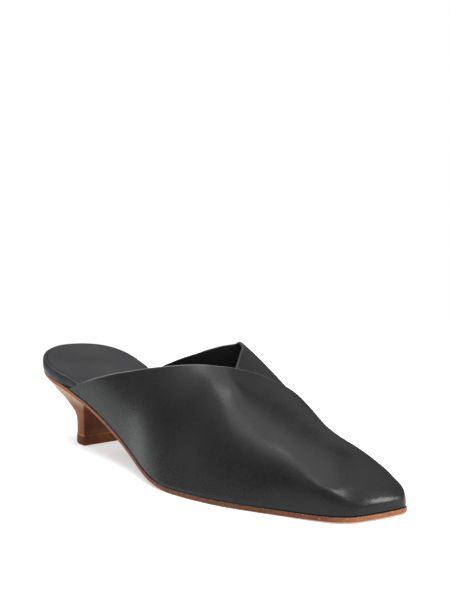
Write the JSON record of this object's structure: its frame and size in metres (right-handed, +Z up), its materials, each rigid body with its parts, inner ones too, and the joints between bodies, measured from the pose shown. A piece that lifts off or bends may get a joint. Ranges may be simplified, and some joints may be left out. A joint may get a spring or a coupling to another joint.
{
  "type": "mule shoe",
  "caption": "Women's backless mule with a wrap-over leather upper, square toe, wrapped insole, thin leather outsole and a low stacked flared heel.",
  "frame": {"origin": "on the ground, under the middle of the shoe's bounding box", "axes": "+Z up, -Y towards the toe, +Y towards the heel, -X towards the outer (little-toe) side of this right shoe"},
  "size_m": [0.0818, 0.266, 0.0679],
  "materials": {
    "upper_leather": "smooth black calf, soft satin sheen",
    "sock_leather": "smooth charcoal lining leather, matt",
    "sole_leather": "tan vegetable-tanned sole leather, waxed edge",
    "heel_stack": "stacked sole leather, burnished tan to brown",
    "top_lift": "brown top lift, matt"
  },
  "bodies": {
    "root": {"upper": "upper_leather", "insole": "sock_leather", "outsole": "sole_leather", "heel": "heel_stack", "top_lift": "top_lift"}
  },
  "joints": []
}
